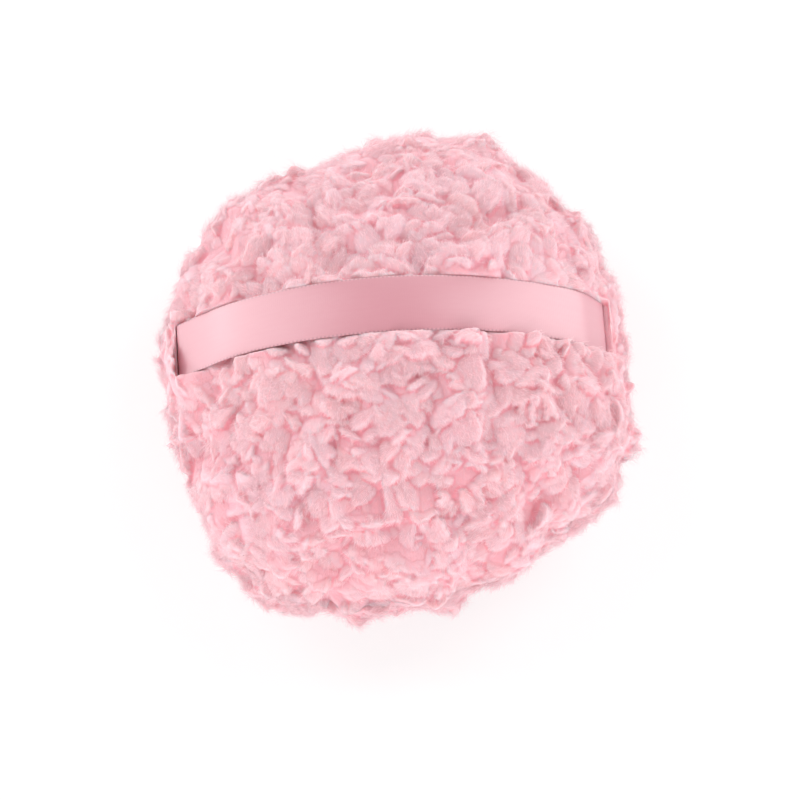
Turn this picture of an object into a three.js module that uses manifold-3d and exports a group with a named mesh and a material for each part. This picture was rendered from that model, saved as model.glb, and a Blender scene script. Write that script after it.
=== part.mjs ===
// A plump fleece powder puff with a satin finger strap, in millimetres, +Z up.
//
// Two round panels of long-pile fleece are sewn together round their rims, turned right side out and
// stuffed. A satin ribbon is caught in the seam at both sides and runs over the crown, where fingers slip
// under it. The puff rests on its lower fleece. X runs along the strap, +Y is the rear, and the origin is on
// the table under the middle. Everything is made about the seam's plane, which is lifted to its height last.
import * as THREE from "three";
import { mergeVertices } from "three/addons/utils/BufferGeometryUtils.js";
import Module from "manifold-3d";

// The stuffed body
const fleece_radius = 67.7; // mean radius to the tips of the pile, before the outline's lobes
const seam_height = 31; // the seam above the table
const crown_height = 37; // the top of the pile above the seam
const foot_radius = 30; // the flat patch that the puff rests on
const rim_pile = 11; // pile length at the rim
const crown_pile = 11; // pile length over the crown
const foot_pile = 9; // pile length underneath, where the puff's weight presses it

// Cloth and seam
const cloth_thickness = 1;
const seam_allowance = 9; // how far the turned-in edges reach inwards from the seam
const clearance = 0.3; // between neighbours that touch on the real puff

// Satin strap
const ribbon_width = 16;
const ribbon_thickness = 0.4;
const strap_offset = 5.5; // the strap crosses this far behind the middle
const strap_sink = 1.6; // how deep the ribbon presses into the pile at the crown
const strap_standoff = 4; // how far outside the seam the ribbon turns up
const strap_bend_radius = 2.5; // radius of that turn, at the middle of the ribbon
const tail_tuck = 7.5; // length of ribbon held inside the seam

// Threads
const thread_width = 0.5;
const stitch_length = 6;
const stitch_inset = 2.4; // the stitch line's distance inside the seam's edge
const closing_stitch_length = 7;
const closing_width = 50; // the opening at the rear that was sewn shut after stuffing
const thread_gap = 2; // between the machine seam's ends and the closing stitches
const tack_stitch_length = 2.8;
const tack_inset = 5.4; // the tack's distance inside the seam's edge

// The lobes of the hand-sewn outline: how many go round, their share of the radius, and where one peaks
const outline_lobes = [
  { count: 2, lobe_share: 0.045, peak_degrees: 73 },
  { count: 4, lobe_share: 0.035, peak_degrees: 60 },
  { count: 7, lobe_share: 0.012, peak_degrees: 27 },
];

// The tufts of the pile
const tuft_spacing = 12; // between the tops of neighbouring tufts
const tuft_height = 4.4; // from the valleys between the tufts to their tops
const tuft_proud_share = 0.22; // how much of that stands above the pile's mean curve
const tuft_reach_share = 0.6; // how far a tuft slopes down from its top, as a share of the spacing
const tuft_stray_share = 0.24; // how far a top strays from its even place, as a share of the spacing

// The broad waves in the pile, which the tufts ride on
const lump_spacing = 23;
const lump_depth = 1.5;
const lump_fade = 9; // height above the table over which the waves and the tufts begin
const lump_wave_shares = [
  [1, 0.4, 0],
  [-0.3, 1.1, 0.5],
  [0.5, -0.6, 0.9],
]; // how fast each crossing wave runs along X, Y and Z

// Roundness of the curves: 2 is an ellipse, and more is squarer
const crown_squareness = 1.87;
const underside_squareness = 2.1;
const strap_squareness = 1.9;

// Fineness of the meshes
const turns = 46; // facets round the cloths and the filling
const pile_facet = 4.6; // size of the pile's facets
const pile_steps = 24; // points that a pile's curve is drawn with before its rings are spaced out
const least_facets = 6; // round the smallest ring of the pile
const cloth_steps = 6;
const strap_steps = 20; // facets from bend to crown
const bend_steps = 4;
const hole_sides = 4;
const overrun = 5; // how far a cutting solid runs past what it cuts

// Worked out from those
const seam_face = clearance / 2; // each panel's face, above or below the seam's plane
const allowance_face = seam_face + cloth_thickness;
const thread_level = allowance_face + clearance + thread_width / 2;
const groove_face = thread_level + thread_width / 2 + clearance;
const seam_radius = fleece_radius - rim_pile;
const allowance_radius = seam_radius - seam_allowance;
const ribbon_space = ribbon_thickness / 2 + clearance; // from the ribbon's middle to the wall of its slot
const hole_radius = thread_width * Math.SQRT1_2 + clearance;
const golden_share = (Math.sqrt(5) - 1) / 2; // steps of this share of a turn never fall into line

const wasm = await Module();
wasm.setup();

const at = (x, y) => new THREE.Vector2(x, y);
const polar = (radius, angle) => at(radius * Math.cos(angle), radius * Math.sin(angle));
const mirrored = (points) => points.map(({ x, y }) => at(-x, y)).reverse();

// The outline's radius as a share of a circle's.
function lobe(angle) {
  const swell = ({ count, lobe_share, peak_degrees }) =>
    lobe_share * Math.cos(count * (angle - THREE.MathUtils.degToRad(peak_degrees)));
  return outline_lobes.reduce((sum, lobes) => sum + swell(lobes), 1);
}

// Where the seam crosses the X axis at the right and the left
const seam_right = seam_radius * lobe(0);
const seam_left = seam_radius * lobe(Math.PI);
const riser_place = Math.max(seam_right, seam_left) + strap_standoff;
const strap_top = crown_height - strap_sink;

// A closed geometry as a solid that can be joined and cut.
function solid(geometry) {
  const bare = new THREE.BufferGeometry().setAttribute("position", geometry.getAttribute("position"));
  bare.setIndex(geometry.getIndex());
  const merged = mergeVertices(bare);
  const triVerts = new Uint32Array(merged.getIndex().array);
  const vertProperties = new Float32Array(merged.getAttribute("position").array);
  return new wasm.Manifold(new wasm.Mesh({ numProp: 3, vertProperties, triVerts }));
}

function surface(manifold) {
  const { vertProperties, triVerts } = manifold.getMesh();
  const geometry = new THREE.BufferGeometry();
  geometry.setAttribute("position", new THREE.BufferAttribute(new Float32Array(vertProperties), 3));
  geometry.setIndex(new THREE.BufferAttribute(new Uint32Array(triVerts), 1));
  geometry.computeVertexNormals();
  return geometry;
}

// A quarter of a superellipse, from the rim at (radius, base) to (foot, tip), and on to the axis.
function dome({ radius, base, tip, foot = 0, squareness, steps }) {
  const curve = Array.from({ length: steps + 1 }, (_, i) => {
    const turn = (i / steps) * (Math.PI / 2);
    const across = i === steps ? 0 : Math.cos(turn) ** (2 / squareness);
    const along = Math.sin(turn) ** (2 / squareness);
    return at(foot + (radius - foot) * across, base + (tip - base) * along);
  });
  return foot > 0 ? [...curve, at(0, tip)] : curve;
}

// Turns a profile of (radius, height) about +Z and swells it to the outline's lobes. The profile runs upwards
// where it faces outwards.
function turned(profile) {
  const geometry = new THREE.LatheGeometry(profile, turns).rotateX(Math.PI / 2);
  const places = geometry.getAttribute("position");
  for (let i = 0; i < places.count; i += 1) {
    const swell = lobe(Math.atan2(places.getY(i), places.getX(i)));
    places.setXY(i, places.getX(i) * swell, places.getY(i) * swell);
  }
  return solid(geometry);
}

// The points at even distances along a curve.
function evenly(curve, distance) {
  const path = new THREE.Path(curve);
  return path.getSpacedPoints(Math.round(path.getLength() / distance));
}

// A ring of places round +Z at a profile's point, about one distance apart and swelled to the lobes.
function ring({ x: radius, y: height }, distance, least, start = 0) {
  const count = radius > 0 ? Math.max(least, Math.round((2 * Math.PI * radius) / distance)) : 1;
  return Array.from({ length: count }, (_, i) => {
    const angle = (2 * Math.PI * (i + start)) / count;
    const { x, y } = polar(radius * lobe(angle), angle);
    return new THREE.Vector3(x, y, height);
  });
}

// The triangles between two rings, of any counts, that start at one angle.
function zipped(low, high) {
  const [low_steps, high_steps] = [low, high].map(({ count }) => (count > 1 ? count : 0));
  const on = ({ first, count }, i) => first + (i % count);
  const faces = [];
  for (let i = 0, j = 0; i < low_steps || j < high_steps; ) {
    if (j === high_steps || (i < low_steps && i * high_steps <= j * low_steps)) {
      faces.push(on(low, i), on(low, i + 1), on(high, j));
      i += 1;
    } else {
      faces.push(on(low, i), on(high, j + 1), on(high, j));
      j += 1;
    }
  }
  return faces;
}

// A closed body of rings along a profile, whose surface is pushed out. Its facets are all about one size.
function ringed(profile, push) {
  const rings = profile.map((point) => ring(point, pile_facet, least_facets));
  const places = rings.flat().map((place) => place.setLength(place.length() + push(place)));
  const spans = rings.map(({ length: count }, i) => ({ first: rings.slice(0, i).flat().length, count }));
  const geometry = new THREE.BufferGeometry().setFromPoints(places);
  geometry.setIndex(spans.slice(1).flatMap((span, i) => zipped(spans[i], span)));
  return solid(geometry);
}

// How far the pile's broad waves push a point out.
function lumps(place) {
  const pitch = (2 * Math.PI) / lump_spacing;
  const wave = (shares) => Math.sin(pitch * place.dot(new THREE.Vector3(...shares)));
  const height = lump_wave_shares.reduce((sum, shares) => sum + wave(shares), 0) / lump_wave_shares.length;
  return lump_depth * height;
}

// The curves of the upper and the lower panel: the pile's tips, and the cloth at a distance inside its face.
const upper = {
  pile: dome({
    radius: fleece_radius,
    base: seam_face,
    tip: crown_height,
    squareness: crown_squareness,
    steps: pile_steps,
  }),
  cloth: (inset, base) =>
    dome({
      radius: seam_radius - inset,
      base,
      tip: crown_height - crown_pile - inset,
      squareness: crown_squareness,
      steps: cloth_steps,
    }),
};
const lower = {
  pile: dome({
    radius: fleece_radius,
    base: seam_face,
    tip: seam_height,
    foot: foot_radius,
    squareness: underside_squareness,
    steps: pile_steps,
  }),
  cloth: (inset, base) =>
    dome({
      radius: seam_radius - inset,
      base,
      tip: seam_height - foot_pile - inset,
      foot: foot_radius - foot_pile / 2,
      squareness: underside_squareness,
      steps: cloth_steps,
    }),
};

// A lower panel's profile is drawn the same way up as an upper one's, and turned over here.
const turnedOver = (profile) => profile.map(({ x, y }) => at(x, -y)).reverse();

// The tops of the tufts, in rows round the whole puff. Each row starts further round, and each top is a
// little astray.
const tuft_rows = evenly([...turnedOver(lower.pile), ...upper.pile], tuft_spacing * Math.sqrt(3 / 4));
const tuft_tops = tuft_rows.flatMap((point, row) => {
  const tops = ring(point, tuft_spacing, 1, row * golden_share);
  const astray = (i, axis) => Math.sin((axis + 1) * (i + row * row + 1) * golden_share * 2 * Math.PI);
  return tops.map((top, i) => {
    const way = new THREE.Vector3(astray(i, 0), astray(i, 1), astray(i, 2));
    return top.addScaledVector(way, tuft_spacing * tuft_stray_share);
  });
});

// How far the tufts push a point of the pile out.
function tufts(place) {
  const distance = Math.min(...tuft_tops.map((top) => top.distanceTo(place)));
  const fall = Math.min(1, distance / (tuft_spacing * tuft_reach_share)) ** 2;
  return tuft_height * (tuft_proud_share - fall);
}

// How far a point of the pile is pushed out by both: not at the foot, nor inside the seam.
function tousled(place) {
  const clear_of_table = THREE.MathUtils.smoothstep(place.z + seam_height, 0, lump_fade);
  const clear_of_middle = THREE.MathUtils.smoothstep(place.length(), 0, lump_spacing);
  return (lumps(place) + tufts(place)) * clear_of_table * clear_of_middle;
}

// The pile of one panel, a thick crown that is hollow over its backing cloth.
function fleece({ pile, cloth }, over = (profile) => profile) {
  const around_cloth = cloth(-clearance, seam_face);
  const bow = evenly(pile.slice(0, -1), pile_facet * Math.sqrt(3 / 4));
  const body = ringed(over([at(0, seam_face), ...bow, pile.at(-1)]), tousled);
  const hollow = turned(over([at(0, -overrun), at(around_cloth[0].x, -overrun), ...around_cloth]));
  return body.subtract(hollow);
}

// The backing cloth of one panel, with its edge turned in at the seam.
function backingCloth({ cloth }, over = (profile) => profile) {
  const allowance = [at(allowance_radius, allowance_face), at(allowance_radius, seam_face)];
  const lining = cloth(cloth_thickness, allowance_face).reverse();
  return turned(over([...lining, ...allowance, ...cloth(0, seam_face)]));
}

// The stuffing fills both panels, with a groove round it where the seam's edges and threads lie.
function filling() {
  const stuffed = ({ cloth }) =>
    cloth(cloth_thickness + clearance, allowance_face).filter(({ y }) => y > groove_face);
  const above = stuffed(upper);
  const below = stuffed(lower);
  const groove_radius = allowance_radius - clearance;
  const groove = [
    at(below[0].x, -groove_face),
    at(groove_radius, -groove_face),
    at(groove_radius, groove_face),
    at(above[0].x, groove_face),
  ];
  return turned([...turnedOver(below), ...groove, ...above]);
}

// The line of the strap at the right: from its end in the seam, outwards and up round the bend.
function tailLine(start) {
  const bend = Array.from({ length: bend_steps + 1 }, (_, i) => {
    const turn = (i / bend_steps - 1) * (Math.PI / 2);
    return at(riser_place - strap_bend_radius, strap_bend_radius).add(polar(strap_bend_radius, turn));
  });
  return [at(start, 0), ...bend];
}

// The line of the strap from its right riser over the crown to the left one.
function strapLine(inset = 0, base = strap_bend_radius) {
  const right = dome({
    radius: riser_place - inset,
    base,
    tip: strap_top - inset,
    squareness: strap_squareness,
    steps: strap_steps,
  });
  return [...right, ...mirrored(right).slice(1)];
}

// A line's points moved sideways, to its left when the distance is positive.
function beside(line, distance) {
  return line.map((point, i) => {
    const ahead = (line[i + 1] ?? point).clone().sub(line[i - 1] ?? point).normalize();
    return point.clone().add(at(-ahead.y, ahead.x).multiplyScalar(distance));
  });
}

// An outline in the X and Z directions, drawn out along Y about the strap's middle.
function acrossStrap(outline, width) {
  const shape = new THREE.Shape(outline);
  const geometry = new THREE.ExtrudeGeometry(shape, { depth: width, bevelEnabled: false });
  return solid(geometry.rotateX(Math.PI / 2).translate(0, strap_offset + width / 2, 0));
}

const band = (line, half_thickness, width) =>
  acrossStrap([...beside(line, half_thickness), ...beside(line, -half_thickness).reverse()], width);
const slot_width = ribbon_width + 2 * clearance;

// The slot that a tail lies in, from inside the seam to where the strap rises out of it.
function tailSlot(tail) {
  const [start, ...rest] = tail;
  const way_out = rest.at(-1).clone().add(at(0, clearance));
  const inward = at(Math.sign(start.x) * clearance, 0);
  return band([start.clone().sub(inward), ...rest, way_out], ribbon_space, slot_width);
}

// The groove that the strap presses into the pile, open above so that the strap lifts straight out.
function strapGroove() {
  const underside = strapLine(ribbon_space);
  const wall = riser_place + ribbon_space;
  const ceiling = crown_height + lump_depth + tuft_height + overrun;
  const left_wall = [at(-wall, strap_bend_radius), at(-wall, ceiling)];
  return acrossStrap([...underside, ...left_wall, ...mirrored(left_wall)], slot_width);
}

// A path of straight runs, whose rings lie on its corners and halve each turn.
class Corners extends THREE.Curve {
  constructor(corners) {
    super();
    this.corners = corners;
  }

  getPointAt(share) {
    return this.corners[Math.round(share * (this.corners.length - 1))].clone();
  }

  getTangentAt(share) {
    const i = Math.round(share * (this.corners.length - 1));
    const runs = [
      [i - 1, i],
      [i, i + 1],
    ].filter(([from, to]) => this.corners[from] && this.corners[to]);
    const way = ([from, to]) => this.corners[to].clone().sub(this.corners[from]).normalize();
    return runs.map(way).reduce((sum, run) => sum.add(run)).normalize();
  }
}

// A running stitch along a row of places: over the seam, down through a hole, under it and up again.
function thread(row) {
  const corners = row.flatMap(({ x, y }, i) => {
    const before = i % 2 ? thread_level : -thread_level;
    const levels = i === 0 ? [-before] : i === row.length - 1 ? [before] : [before, -before];
    return levels.map((level) => new THREE.Vector3(x, y, level));
  });
  const half = thread_width / 2;
  const section = new THREE.Shape([at(-half, -half), at(half, -half), at(half, half), at(-half, half)]);
  const extrudePath = new Corners(corners);
  return solid(new THREE.ExtrudeGeometry(section, { extrudePath, steps: corners.length - 1 }));
}

// The holes of a row of stitches, at all its places but the two ends.
function holes(row) {
  const height = 2 * (allowance_face + clearance);
  return row.slice(1, -1).map(({ x, y }) => {
    const round = new THREE.CylinderGeometry(hole_radius, hole_radius, height, hole_sides);
    return solid(round.rotateX(Math.PI / 2).rotateZ(Math.atan2(y, x)).translate(x, y, 0));
  });
}

// Places along the rim's stitch line between two angles.
function rimRow(from, to, length) {
  const radius = seam_radius - stitch_inset;
  const count = Math.round(((to - from) * radius) / length);
  return Array.from({ length: count + 1 }, (_, i) => {
    const angle = from + ((to - from) * i) / count;
    return polar(radius * lobe(angle), angle);
  });
}

// Places in a straight row across the ribbon.
function tackRow(place) {
  const count = Math.floor((ribbon_width - thread_width) / tack_stitch_length);
  const start = strap_offset - (count * tack_stitch_length) / 2;
  return Array.from({ length: count + 1 }, (_, i) => at(place, start + i * tack_stitch_length));
}

const stitch_radius = seam_radius - stitch_inset;
const closing_start = (Math.PI - closing_width / stitch_radius) / 2;
const closing_end = Math.PI - closing_start;
const break_angle = thread_gap / stitch_radius;
const rows = {
  perimeter: rimRow(closing_end + break_angle, closing_start + 2 * Math.PI - break_angle, stitch_length),
  closing: rimRow(closing_start, closing_end, closing_stitch_length),
  tack_right: tackRow(seam_right - tack_inset),
  tack_left: tackRow(tack_inset - seam_left),
};
const stitch_holes = Object.values(rows).flatMap(holes).reduce((sum, hole) => sum.add(hole));

const tail_right = tailLine(seam_right - tail_tuck);
const tail_left = mirrored(tailLine(seam_left - tail_tuck)).reverse();
const slots = tailSlot(tail_right).add(tailSlot(tail_left));
const loop = strapLine(0, strap_bend_radius + clearance);
const ribbon = (line) => band(line, ribbon_thickness / 2, ribbon_width);
const sewn = (piece) => piece.subtract(stitch_holes);

const finish = (color, roughness) => new THREE.MeshStandardMaterial({ color, roughness, metalness: 0 });
const pink_fleece = finish(0xf3bcc5, 0.95);
const pink_cloth = finish(0xeeb2bd, 0.9);
const pink_satin = finish(0xf6c4ce, 0.35);
const pink_thread = finish(0xf0b4bf, 0.7);
const white_fibre = finish(0xf6f3ee, 0.95);

const puff = new THREE.Group();
puff.position.z = seam_height;

function add(name, piece, material) {
  const mesh = new THREE.Mesh(surface(piece), material.clone());
  mesh.name = name;
  puff.add(mesh);
}

add("upper_fleece", fleece(upper).subtract(slots.add(strapGroove())), pink_fleece);
add("upper_backing_cloth", sewn(backingCloth(upper).subtract(slots)), pink_cloth);
add("lower_fleece", fleece(lower, turnedOver).subtract(slots), pink_fleece);
add("lower_backing_cloth", sewn(backingCloth(lower, turnedOver).subtract(slots)), pink_cloth);
add("fibre_filling", filling(), white_fibre);
add("ribbon_strap", ribbon(loop), pink_satin);
add("strap_tail_right", sewn(ribbon(tail_right)), pink_satin);
add("strap_tail_left", sewn(ribbon(tail_left)), pink_satin);
add("perimeter_seam_thread", thread(rows.perimeter), pink_thread);
add("closing_stitch_thread", thread(rows.closing), pink_thread);
add("strap_tack_right", thread(rows.tack_right), pink_thread);
add("strap_tack_left", thread(rows.tack_left), pink_thread);

const part = new THREE.Group();
part.add(puff);
export default part;
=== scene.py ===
"""The looks of a fleece powder puff with a satin strap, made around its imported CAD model."""

import math

import bpy
import numpy as np
from bpy.props import FloatProperty, FloatVectorProperty, IntProperty, PointerProperty
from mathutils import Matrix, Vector
from mathutils.bvhtree import BVHTree
from mathutils.kdtree import KDTree


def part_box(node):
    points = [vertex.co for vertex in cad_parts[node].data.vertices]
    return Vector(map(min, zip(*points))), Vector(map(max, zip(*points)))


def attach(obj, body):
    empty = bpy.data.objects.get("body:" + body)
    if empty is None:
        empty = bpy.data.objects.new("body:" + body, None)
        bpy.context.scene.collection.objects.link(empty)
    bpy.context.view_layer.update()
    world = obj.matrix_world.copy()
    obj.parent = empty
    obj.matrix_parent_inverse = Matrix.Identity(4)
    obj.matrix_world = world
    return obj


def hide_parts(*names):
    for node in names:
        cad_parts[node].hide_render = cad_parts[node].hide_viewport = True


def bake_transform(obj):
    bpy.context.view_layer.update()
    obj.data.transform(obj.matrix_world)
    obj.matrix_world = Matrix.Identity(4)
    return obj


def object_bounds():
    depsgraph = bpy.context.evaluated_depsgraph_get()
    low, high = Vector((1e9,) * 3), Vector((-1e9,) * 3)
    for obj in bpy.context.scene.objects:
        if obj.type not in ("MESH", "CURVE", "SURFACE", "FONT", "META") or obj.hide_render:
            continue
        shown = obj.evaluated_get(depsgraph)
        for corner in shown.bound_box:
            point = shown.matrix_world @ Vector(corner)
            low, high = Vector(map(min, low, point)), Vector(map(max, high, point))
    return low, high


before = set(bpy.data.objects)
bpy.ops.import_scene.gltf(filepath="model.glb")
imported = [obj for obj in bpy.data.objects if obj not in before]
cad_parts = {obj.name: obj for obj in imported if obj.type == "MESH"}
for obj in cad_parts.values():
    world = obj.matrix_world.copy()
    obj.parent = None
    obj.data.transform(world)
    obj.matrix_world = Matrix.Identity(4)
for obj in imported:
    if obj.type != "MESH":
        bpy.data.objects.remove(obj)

bl_info = {
    "name": "Powder Puff",
    "version": (1, 0, 0),
    "blender": (4, 5, 0),
    "location": "View3D > Sidebar > Powder Puff",
    "description": "Builds a fleece powder puff with a satin finger strap around its CAD model",
    "category": "Object",
}

MM = 0.001
REAR = np.array([0.0, 1.0, 0.0])

# The CAD model's box, and the places that the pieces take from its nodes
CAD_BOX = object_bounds()
LOOP_LOW, LOOP_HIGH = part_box("ribbon_strap")
TAIL_LOW, TAIL_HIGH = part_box("strap_tail_right")
LEFT_TAIL_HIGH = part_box("strap_tail_left")[1]
STRAP_MIDDLE = (LOOP_LOW.y + LOOP_HIGH.y) / 2
RIBBON_WIDTH = LOOP_HIGH.y - LOOP_LOW.y
HALF_RIBBON = RIBBON_WIDTH / 2

# The picture that the camera is set up for
PICTURE_SIDE = 800  # in pixels
PIXELS_PER_MM = 3.68
PUFF_PIXEL = (393, 365)  # the middle of the puff, from the picture's left and from its top
SENSOR_WIDTH = 36  # of the camera, in mm


def length_setting(name, default, least, description):
    return FloatProperty(name=name, default=default, min=least, description=description, subtype="DISTANCE")


def angle_setting(name, degrees, description):
    return FloatProperty(name=name, default=math.radians(degrees), description=description, subtype="ANGLE")


def colour_setting(name, default, description):
    return FloatVectorProperty(
        name=name, default=default, min=0, max=1, description=description, subtype="COLOR"
    )


class FleeceSettings(bpy.types.PropertyGroup):
    """The pile of the two fleece panels."""

    clump_spacing: length_setting(
        "Clump Spacing", 11 * MM, 1 * MM, "Least distance between the middles of two clumps of locks"
    )
    lock_spacing: length_setting(
        "Lock Spacing", 2.4 * MM, 1 * MM, "Least distance between the feet of two locks of fibres"
    )
    lock_length: length_setting(
        "Lock Length", 8.0 * MM, 0, "How far a lock's tip lies from its foot, along the surface"
    )
    lock_width: length_setting("Lock Width", 7.6 * MM, 0.5 * MM, "Mean width of one lock of fibres")
    undercoat_depth: length_setting(
        "Undercoat Depth", 1.25 * MM, 1 * MM, "How far the dense undercoat stays below the tips of the pile"
    )
    shell_grain: length_setting(
        "Shell Grain", 0.52 * MM, 0.3 * MM, "Size of the faces of the shell that is drawn out to the locks"
    )
    stray_fibres: IntProperty(
        name="Stray Fibres",
        default=56000,
        min=0,
        description="Most fine fibres that stand out of each panel's locks",
    )
    tip_colour: colour_setting(
        "Tip Colour", (0.785, 0.515, 0.555), "Colour of the pile where the light reaches its tips"
    )
    # painted shade: this colour stands in for the shade that falls deep between the locks
    root_colour: colour_setting("Root Colour", (0.84, 0.365, 0.42), "Colour deep between the locks")
    seed: IntProperty(name="Seed", default=7, description="Number that the random draws start from")


class RibbonSettings(bpy.types.PropertyGroup):
    """The satin strap."""

    thickness: length_setting("Thickness", 0.35 * MM, 0.05 * MM, "Thickness of the satin ribbon")
    satin_colour: colour_setting("Satin Colour", (0.62, 0.25, 0.3), "Colour of the ribbon's face")


class StageSettings(bpy.types.PropertyGroup):
    """The camera."""

    camera_tilt: angle_setting("Camera Tilt", 67.5, "Angle of the view above the horizon")
    camera_turn: angle_setting("Camera Turn", -3.7, "Angle of the view round the puff, from the front")
    camera_distance: length_setting("Camera Distance", 1.2, 0, "From the lens to the middle of the puff")
    view_width: length_setting(
        "View Width", PICTURE_SIDE / PIXELS_PER_MM * MM, 0, "Width that the picture takes in at the puff"
    )


def math_method(operation):
    """An operator of values, and its reflected form."""

    def direct(self, other):
        return self.math(operation, self, other)

    def reflected(self, other):
        return self.math(operation, other, self)

    return direct, reflected


class Value:
    """One output of a material's node. Arithmetic on values adds the Math nodes that work it out."""

    def __init__(self, finish, socket):
        self.finish = finish
        self.socket = socket

    def math(self, operation, *operands):
        return self.finish.node("ShaderNodeMath", {"operation": operation}, dict(enumerate(operands)))

    __add__, __radd__ = math_method("ADD")
    __sub__, __rsub__ = math_method("SUBTRACT")
    __mul__, __rmul__ = math_method("MULTIPLY")
    __pow__, __rpow__ = math_method("POWER")

    def wave(self, pitch):
        """A wave between -1 and 1 that comes round each time the value grows by the pitch."""
        return self.math("SINE", self * (2 * math.pi / pitch))

    def size(self):
        return self.math("ABSOLUTE", self)

    def between(self, low, high):
        """How far the value has risen from low to high, smoothly from 0 to 1."""
        settings = {"interpolation_type": "SMOOTHSTEP"}
        return self.finish.node("ShaderNodeMapRange", settings, {0: self, 1: low, 2: high})


class Finish:
    """A material under construction, with its principled shader."""

    def __init__(self, name, **constants):
        self.material = bpy.data.materials.new(name)
        self.material.use_nodes = True
        self.tree = self.material.node_tree
        self.shader = self.tree.nodes["Principled BSDF"]
        self.set(**constants)

    @classmethod
    def of_tree(cls, tree):
        """The same helper for nodes that aren't a material's, such as the world's."""
        helper = cls.__new__(cls)
        helper.tree = tree
        return helper

    def set(self, **sockets):
        """Gives the shader's sockets their numbers, or links what changes over the surface."""
        for name, value in sockets.items():
            self.feed(self.shader.inputs[name.replace("_", " ").title().replace("Ior", "IOR")], value)

    def feed(self, socket, value):
        if isinstance(value, Value):
            self.tree.links.new(value.socket, socket)
        else:
            socket.default_value = value

    def node(self, kind, settings=None, sockets=None, output=0):
        """Adds a node: its settings first, then the values or links of its sockets."""
        node = self.tree.nodes.new(kind)
        for name, value in (settings or {}).items():
            setattr(node, name, value)
        for name, value in (sockets or {}).items():
            self.feed(node.inputs[name], value)
        return Value(self, node.outputs[output])

    def attribute(self, name, output="Fac"):
        return self.node("ShaderNodeAttribute", {"attribute_name": name}, output=output)

    def place(self):
        """The surface point in the puff's own frame, in metres."""
        return self.node("ShaderNodeTexCoord", output="Object")

    def axis(self, vector, name):
        return self.node("ShaderNodeSeparateXYZ", None, {0: vector}, output=name)

    def scaled(self, vector, factors):
        """The vector with each axis times its own factor, which draws a pattern out along the smallest."""
        return self.node("ShaderNodeVectorMath", {"operation": "MULTIPLY"}, {0: vector, 1: factors})

    def noise(self, place, spacing, detail=2.0, roughness=0.5):
        """Soft noise from 0 to 1 whose patches lie about one spacing apart."""
        sockets = {"Vector": place, "Scale": 1 / spacing, "Detail": detail, "Roughness": roughness}
        return self.node("ShaderNodeTexNoise", None, sockets)

    def mixed(self, share, first, second):
        """A colour part of the way from the first to the second."""
        first, second = (value if isinstance(value, Value) else (*value, 1) for value in (first, second))
        return self.node("ShaderNodeMix", {"data_type": "RGBA"}, {0: share, 6: first, 7: second}, 2)

    def show(self, surface):
        """Shows this shader in place of the principled one."""
        self.tree.links.new(surface.socket, self.tree.nodes["Material Output"].inputs["Surface"])

    def bump(self, height, distance, strength=1.0):
        sockets = {"Height": height, "Distance": distance, "Strength": strength}
        return self.node("ShaderNodeBump", None, sockets)


def deselect():
    if bpy.context.object and bpy.context.object.mode != "OBJECT":
        bpy.ops.object.mode_set(mode="OBJECT")
    bpy.ops.object.select_all(action="DESELECT")


def activate(piece):
    deselect()
    piece.select_set(True)
    bpy.context.view_layer.objects.active = piece


def edit_all(piece):
    """Opens the piece for editing, with all of it selected."""
    activate(piece)
    bpy.ops.object.mode_set(mode="EDIT")
    bpy.ops.mesh.select_all(action="SELECT")


def read(items, name, width=3, kind=float):
    """One row of numbers for each vertex, edge or triangle."""
    values = np.empty(len(items) * width, kind)
    items.foreach_get(name, values)
    return values.reshape(-1, width)


def points_of(piece):
    return read(piece.data.vertices, "co")


def normals_of(piece):
    return read(piece.data.vertices, "normal")


def triangles_of(piece):
    piece.data.calc_loop_triangles()
    return read(piece.data.loop_triangles, "vertices", kind=np.int32)


def move_points(piece, points):
    piece.data.vertices.foreach_set("co", np.asarray(points, np.float32).ravel())
    piece.data.update()


FOLD_BLURS = 2  # rounds of blurring the folds with those of the neighbouring points
FOLD_PERCENTILE = 92  # the fold that is sharper than this much of all of them counts as 1


def folds_of(piece):
    """How sharply the surface folds at each point: up to 1 in a crease and down to -1 on a ridge."""
    mesh = piece.data
    start, end = read(mesh.edges, "vertices", 2, np.int32).T
    both = np.concatenate([start, end])
    count = np.maximum(np.bincount(both, minlength=len(mesh.vertices)), 1)

    def around(values):
        neighbours = np.concatenate([values[end], values[start]])
        return np.bincount(both, weights=neighbours, minlength=len(mesh.vertices)) / count

    points = points_of(piece)
    middle = np.stack([around(points[:, axis]) for axis in range(3)], 1)
    fold = ((middle - points) * normals_of(piece)).sum(1)
    for _ in range(FOLD_BLURS):
        fold = (fold + around(fold)) / 2
    return np.clip(fold / np.percentile(np.abs(fold), FOLD_PERCENTILE), -1, 1)


def write_attribute(piece, name, values):
    layer = piece.data.attributes.new(name, "FLOAT", "POINT")
    layer.data.foreach_set("value", np.asarray(values, np.float32))


def piece_from(name, points, triangles):
    """A new object with these points and triangles."""
    mesh = bpy.data.meshes.new(name)
    mesh.vertices.add(len(points))
    mesh.vertices.foreach_set("co", np.asarray(points, np.float32).ravel())
    mesh.loops.add(triangles.size)
    mesh.loops.foreach_set("vertex_index", triangles.astype(np.int32).ravel())
    mesh.polygons.add(len(triangles))
    mesh.polygons.foreach_set("loop_start", np.arange(0, triangles.size, 3, dtype=np.int32))
    mesh.update(calc_edges=True)
    piece = bpy.data.objects.new(name, mesh)
    bpy.context.scene.collection.objects.link(piece)
    return piece


def copy_of_node(node, name):
    """A merged copy of a CAD node, free to be reshaped."""
    piece = bpy.data.objects.new(name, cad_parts[node].data.copy())
    bpy.context.scene.collection.objects.link(piece)
    piece.data.materials.clear()
    edit_all(piece)
    bpy.ops.mesh.remove_doubles(threshold=0.001 * MM)
    bpy.ops.object.mode_set(mode="OBJECT")
    return piece


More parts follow.
